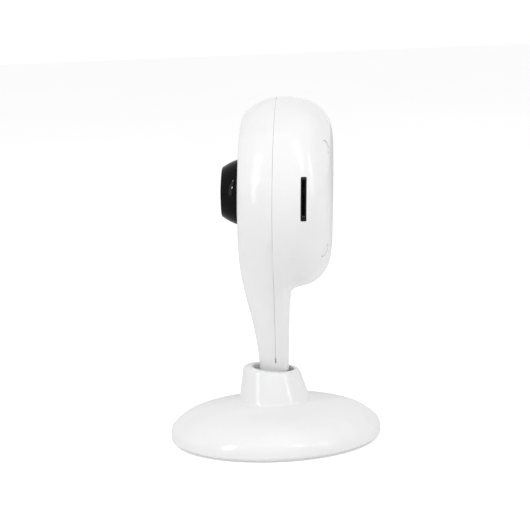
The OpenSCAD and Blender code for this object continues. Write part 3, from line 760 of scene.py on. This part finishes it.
def cross_head(name, head_r, head_h, shaft_r, tip_y):
    """A pan-head screw along Y: its head from 0 to head_h, its shaft down to tip_y."""
    outline = [(0, tip_y), (shaft_r * 0.7, tip_y), (shaft_r, tip_y + 0.6), (shaft_r, 0),
               (head_r, 0), (head_r, head_h), (0, head_h)]
    outline = corner(outline, {4: 0.1, 5: head_h * 0.45})
    screw = lathe(name, outline, 64)
    turned_to_rear(screw)
    for w, h in ((head_r * 1.2, head_r * 0.26), (head_r * 0.26, head_r * 1.2)):
        bar = prism_y("bar", rounded_box(w, h, 0.05), head_h * 0.45, head_h + 1)
        boolean(screw, bar)
    return screw


def placed_copies(source, name, places):
    """One object from copies of a mesh moved to places, in millimetres."""
    work = bmesh.new()
    for place in places:
        before = len(work.verts)
        work.from_mesh(source.data)
        work.verts.ensure_lookup_table()
        for vert in work.verts[before:]:
            vert.co += Vector(place)
    bpy.data.objects.remove(source, do_unlink=True)
    mesh = bpy.data.meshes.new(name)
    work.to_mesh(mesh)
    work.free()
    obj = bpy.data.objects.new(name, mesh)
    bpy.context.scene.collection.objects.link(obj)
    return obj


def make_head_screws():
    one = cross_head("screw", SCREW_HEAD_R, SCREW_HEAD_H, SCREW_R, SCREW_TIP_Y - SCREW_SEAT_Y)
    screws = placed_copies(one, "head_screws_cross", [(x, SCREW_SEAT_Y, z) for x, z in SCREW_PLACES])
    smooth_by_angle(screws, 35)
    return finish_piece(screws, head_matrix, "head", "steel", steel, "head_screws")


def make_screw_plugs():
    """Thin white plugs over the screws, their faces just below the shell's surface."""
    radius, recess, foot_y, steps = 2.03, 0.22, SCREW_SEAT_Y + SCREW_HEAD_H + 0.1, 48
    rings = [(0.001, 0), (0.7, 0), (1.4, 0), (1.8, 0), (1.97, 0.05), (radius, 0.14), (radius, None)]
    plugs = []
    for px, pz in SCREW_PLACES:
        points, faces = [], []
        for r, drop in rings:
            for k in range(steps):
                x = px + r * math.cos(2 * math.pi * k / steps)
                z = pz + r * math.sin(2 * math.pi * k / steps)
                across = (math.hypot(x, z) - HEAD_R + REAR_SHOULDER) / REAR_SHOULDER
                top = REAR_DEPTH * np.cbrt(1 - across**3)
                points.append((x, foot_y if drop is None else top - recess - drop, z))
        for i in range(len(rings) - 1):
            for k in range(steps):
                m = (k + 1) % steps
                faces.append((i * steps + k, i * steps + m, (i + 1) * steps + m, (i + 1) * steps + k))
        faces.append(tuple(range(steps)))
        faces.append(tuple(range((len(rings) - 1) * steps, len(rings) * steps)))
        plugs.append(new_object("plug", points, faces))
    plug = joined(plugs)
    plug.name = "screw_plug_caps"
    clean(plug)
    smooth_by_angle(plug, 40)
    return finish_piece(plug, head_matrix, "head", "white_shell", white, "screw_plugs")


def make_power_inlet():
    """A micro-USB inlet: a folded steel mouth round a dark tongue."""
    w, h, bevel = INLET_W, INLET_H, 1.1
    outline = corner([(-w / 2 + bevel, -h / 2), (w / 2 - bevel, -h / 2), (w / 2, -h / 2 + bevel),
                      (w / 2, h / 2), (-w / 2, h / 2), (-w / 2, -h / 2 + bevel)],
                     {i: 0.35 for i in range(6)})
    mouth_end = BOARD_REAR_Y + INLET_DEPTH
    mouth = prism_y("power_inlet_mouth", shift(outline, *INLET), BOARD_REAR_Y, mouth_end)
    cavity = shift([(x * 0.91, z * 0.78) for x, z in outline], *INLET)
    boolean(mouth, prism_y("cut", cavity, BOARD_REAR_Y + 1, PAST_REAR_Y))
    smooth_by_angle(mouth, 30)
    finish_piece(mouth, head_matrix, "head", "plated_steel", plated, "power_inlet")
    tongue_outline = shift(rounded_box(4.4, 0.7, 0.15), INLET[0], INLET[1] - 0.1)
    tongue = prism_y("power_inlet_tongue", tongue_outline, BOARD_REAR_Y + 0.9, mouth_end - 1)
    smooth_by_angle(tongue, 30)
    finish_piece(tongue, head_matrix, "head", "beige_connector", beige)


def make_reset_button():
    """A small white cap with a rounded rim on a thin stem."""
    stem_y, cap_y, top_y = BOARD_REAR_Y + 1.7, 14.0, REAR_DEPTH - 0.5
    outline = [(0, stem_y), (0.9, stem_y), (0.9, cap_y), (BUTTON_R, cap_y), (BUTTON_R, top_y),
               (0, top_y)]
    cap = lathe("reset_button_cap", corner(outline, {4: 0.35}), 64)
    turned_to_rear(cap)
    cap.data.transform(Matrix.Translation((BUTTON[0], 0, BUTTON[1])))
    smooth_by_angle(cap, 35)
    return finish_piece(cap, head_matrix, "button", "white_shell", white, "reset_button")


def make_lens():
    """The barrel's stepped black rings and the coated front element behind the window."""
    low, high = BARREL_FRONT_Y, BARREL_REAR_Y
    steps = [(BARREL_R, low), (BARREL_R, high), (4.0, high), (4.0, high - 3), (3.2, high - 3),
             (3.2, low + 3), (4.6, low + 3), (4.6, low + 1.2), (4.85, low + 1.2), (4.85, low + 0.8),
             (5.15, low + 0.8), (5.15, low + 0.4), (5.45, low + 0.4), (5.45, low)]
    barrel = lathe("lens_barrel_rings", steps, 128)
    turned_to_rear(barrel)
    smooth_by_angle(barrel, 30)
    finish_piece(barrel, head_matrix, "head", "matte_black", matte_black, "lens_barrel")
    dome_r, edge_r = 9.0, 4.55
    crown = [(edge_r * k / 16, low + 0.5 + dome_r - math.sqrt(dome_r**2 - (edge_r * k / 16) ** 2))
             for k in range(17)]
    outline = crown + [(edge_r, low + 3), (0, low + 3)]
    element = lathe("lens_element_glass", outline, 96)
    turned_to_rear(element)
    smooth_by_angle(element, 30)
    finish_piece(element, head_matrix, "head", "lens_glass", lens_glass, "lens_front_element")


def make_bezel():
    """The black cone round the lens, its flank swelling slightly between foot and tip."""
    flange_front = FACE_Y - BEZEL_FOOT
    seat = BEZEL_TIP_Y + 1.4
    back = [(6.3, -9.8), (8.4, -9.8), (8.4, FACE_Y + 0.3), (BEZEL_R, FACE_Y + 0.3),
            (BEZEL_R, flange_front + 0.2)]
    flank = []
    for i in range(1, 12):
        t = i / 12
        bulge = BEZEL_BULGE * math.sin(math.pi * t)
        flank.append((BEZEL_R + t * (BEZEL_TIP_R - BEZEL_R) + bulge,
                      flange_front + t * (BEZEL_TIP_Y - flange_front)))
    front = [(BEZEL_TIP_R, BEZEL_TIP_Y), (WINDOW_R + 0.05, BEZEL_TIP_Y),
             (WINDOW_R + 0.05, seat), (6.3, seat)]
    first = len(back) + len(flank)
    outline = corner(back + flank + front, {first: 0.3, first + 1: 0.15})
    bezel = lathe("lens_bezel_ring", outline, 192)
    turned_to_rear(bezel)
    smooth_by_angle(bezel, 30)
    return finish_piece(bezel, head_matrix, "head", "gloss_black", gloss_black, "lens_bezel")


def make_window():
    """The window over the lens, its face slightly domed."""
    steps = 14
    front = [(WINDOW_R * i / steps, BEZEL_TIP_Y - 0.6 + 0.7 * (i / steps) ** 2)
             for i in range(steps + 1)]
    outline = front + [(WINDOW_R, BEZEL_TIP_Y + 1.0), (0, BEZEL_TIP_Y + 1.0)]
    outline = corner(outline, {steps: 0.12})
    window = lathe("lens_window_glass", outline, 128)
    turned_to_rear(window)
    smooth_by_angle(window, 30)
    return finish_piece(window, head_matrix, "head", "window_glass", window_glass, "lens_window")


make_front_shell()
make_rear_shell()
make_socket_and_shade_liner()
make_head_screws()
make_screw_plugs()
make_power_inlet()
make_reset_button()
make_lens()
make_bezel()
make_window()

# ---------------------------------------------------------------- base pieces


def base_outline():
    """Outline of the base moulding: disc, dome and collar, with its hollow underside."""
    span = BASE_R - 0.4 - DOME_TOP_R

    def dome(u):
        return DOME_TOP_Z - 4.2 * u - 3.5 * u**6

    outer = [(BASE_R - 0.9, RIM_LOW_Z), (BASE_R, RIM_LOW_Z + 0.9), (BASE_R, 3.6)]
    outer = corner(outer, {1: 0.6})
    outer += [(DOME_TOP_R + span * i / 40, dome(i / 40)) for i in range(40, 0, -1)]

    def cone_r(z):
        return MOUTH_R + LIP_WALL + COLLAR_TAPER * (LIP_TOP_Z - z)

    foot = corner([(DOME_TOP_R + 1, dome(0.05)), (cone_r(DOME_TOP_Z + 0.1), DOME_TOP_Z + 0.1),
                   (cone_r(DOME_TOP_Z + 2.6), DOME_TOP_Z + 2.6)], {1: 1.6})
    outer += foot[1:]
    outer += [(cone_r(z), z) for z in np.linspace(DOME_TOP_Z + 3.2, LIP_TOP_Z - 2.1, 8)]
    lip = corner([(cone_r(LIP_TOP_Z - 1.9), LIP_TOP_Z - 1.9), (cone_r(LIP_TOP_Z), LIP_TOP_Z),
                  (MOUTH_R, LIP_TOP_Z), (MOUTH_R, LIP_TOP_Z - 1.2)], {1: 1.8, 2: 0.8})
    outer += lip[1:-1]
    seat_z = BALL_Z + math.sqrt((BALL_R + 0.15) ** 2 - MOUTH_R**2)
    inner = [(MOUTH_R, seat_z), (BALL_R - 0.35, BALL_Z + 2.8), (BALL_R, BALL_Z + 1.8),
             (8.85, 17.3), (8.85, 8.5), (10.25, 8.5)]
    inner += [(DOME_TOP_R + (span - 1.6) * i / 12, dome(i / 12) - BASE_WALL) for i in range(1, 13)]
    inner += [(BASE_R - BASE_WALL, RIM_LOW_Z + 1.5), (BASE_R - BASE_WALL, RIM_LOW_Z)]
    return outer + inner


def collar_slant(r, y, z):
    """The mouth slopes down to the rear, and the collar's outside leans forward."""
    rise = max(0, z - DOME_TOP_Z)
    share = min(1, max(0, (z - 15) / (LIP_TOP_Z - 15)))
    outside = min(1, max(0, (r - MOUTH_R - 0.2) / (0.6 * LIP_WALL)))
    return -rise * math.tan(COLLAR_LEAN) * outside, -y * math.tan(LIP_SLOPE) * share


def make_base():
    """The base moulding, with its collar."""
    shell = lathe("base_shell_skin", base_outline(), 256, collar_slant)
    smooth_by_angle(shell, 35)
    return finish_piece(shell, base_matrix, "base", "white_shell", white, "base_shell")


make_base()

# ---------------------------------------------------------------- stage

CAMERA_DISTANCE = 0.540
CAMERA_HEIGHT = 0.135
CAMERA_AZIMUTH = math.radians(93.4)
CAMERA_PITCH = math.radians(-8.26)
CAMERA_YAW = math.radians(0.14)
CAMERA_ROLL = math.radians(-2.38)
LENS_MM = 115.4


def make_camera():
    data = bpy.data.cameras.new("camera")
    data.lens = LENS_MM
    data.sensor_width = 36
    data.clip_start = 0.01
    data.clip_end = 50
    obj = bpy.data.objects.new("camera", data)
    bpy.context.scene.collection.objects.link(obj)
    place = Vector((math.sin(CAMERA_AZIMUTH), -math.cos(CAMERA_AZIMUTH), 0)) * CAMERA_DISTANCE
    place.z = CAMERA_HEIGHT
    turn = Matrix.Rotation(CAMERA_AZIMUTH + CAMERA_YAW, 4, "Z")
    tilt = Matrix.Rotation(math.pi / 2 + CAMERA_PITCH, 4, "X")
    roll = Matrix.Rotation(CAMERA_ROLL, 4, "Z")
    obj.matrix_world = Matrix.Translation(place) @ turn @ tilt @ roll
    bpy.context.scene.camera = obj


def area_light(name, place, target, width, height, power):
    data = bpy.data.lights.new(name, "AREA")
    data.shape = "RECTANGLE"
    data.size = width
    data.size_y = height
    data.energy = power
    obj = bpy.data.objects.new(name, data)
    bpy.context.scene.collection.objects.link(obj)
    obj.location = place
    obj.rotation_euler = (Vector(target) - Vector(place)).to_track_quat("-Z", "Y").to_euler()
    return obj


def make_floor():
    size = 6.0
    floor = new_object("floor", [(-size, -size, 0), (size, -size, 0), (size, size, 0), (-size, size, 0)],
                       [(0, 1, 2, 3)])
    material, nodes, links, shader = node_material("floor_white")
    links.new(ramp(nodes, links, noise(nodes, links, 4.0), (0.93, 0.93, 0.93), (0.95, 0.95, 0.95)),
              shader.inputs["Base Color"])
    shader.inputs["Roughness"].default_value = 0.9
    shader.inputs["Specular IOR Level"].default_value = 0.1
    shader.inputs["Emission Color"].default_value = (1, 1, 1, 1)
    path = nodes.new("ShaderNodeLightPath")
    glow = nodes.new("ShaderNodeMath")
    glow.operation = "MULTIPLY"
    glow.inputs[1].default_value = 0.5
    links.new(path.outputs["Is Camera Ray"], glow.inputs[0])
    links.new(glow.outputs[0], shader.inputs["Emission Strength"])
    floor.data.materials.append(material)


SOFT_LIGHT = 0.47
SOFT_REFLECTION = 0.95


def make_world():
    world = bpy.data.worlds.new("studio")
    bpy.context.scene.world = world
    world.use_nodes = True
    nodes, links = world.node_tree.nodes, world.node_tree.links
    soft = nodes["Background"]
    soft.inputs["Color"].default_value = (1, 1, 1, 1)
    seen = nodes.new("ShaderNodeBackground")
    seen.inputs["Color"].default_value = (1, 1, 1, 1)
    seen.inputs["Strength"].default_value = 1.1
    mix = nodes.new("ShaderNodeMixShader")
    path = nodes.new("ShaderNodeLightPath")
    links.new(path.outputs["Is Camera Ray"], mix.inputs["Fac"])
    # Reflections see a brighter room than the one that lights the shells.
    dim = nodes.new("ShaderNodeMapRange")
    dim.inputs["To Min"].default_value = SOFT_LIGHT
    dim.inputs["To Max"].default_value = SOFT_REFLECTION
    links.new(path.outputs["Is Glossy Ray"], dim.inputs["Value"])
    links.new(dim.outputs["Result"], soft.inputs["Strength"])
    links.new(soft.outputs[0], mix.inputs[1])
    links.new(seen.outputs[0], mix.inputs[2])
    links.new(mix.outputs[0], nodes["World Output"].inputs["Surface"])


def light_at(name, from_camera, elevation, width, height, power, distance=0.85):
    """An area light, placed by its angles as the middle of the camera sees them."""
    a = CAMERA_AZIMUTH + math.radians(from_camera)
    e = math.radians(elevation)
    middle = Vector((0, 0, 0.06))
    place = middle + distance * Vector(
        (math.sin(a) * math.cos(e), -math.cos(a) * math.cos(e), math.sin(e)))
    return area_light(name, place, middle, width, height, power)


def make_lights():
    """Two broad soft lights, tall strips that streak the shells, and two small lamps."""
    top = area_light("top_softbox", (0.25, 0.0, 0.9), (0, 0, 0.06), 0.7, 0.7, 2.0)
    top.visible_glossy = False
    rear = area_light("rear_softbox", (0.25, 0.9, 0.3), (0, 0, 0.06), 0.7, 0.7, 1.5)
    rear.visible_glossy = False
    light_at("left_strip", -57, 17, 0.12, 0.85, 1.1)
    light_at("upper_strip", 31, 47, 0.07, 0.55, 0.9)
    light_at("right_strip", 56, 18, 0.045, 0.80, 0.9)
    light_at("high_lamp", -59, 39, 0.022, 0.06, 0.7)
    light_at("low_lamp", -54, 20, 0.022, 0.06, 0.7)


make_camera()
make_floor()
make_world()
make_lights()
bpy.context.scene.view_settings.view_transform = "Standard"
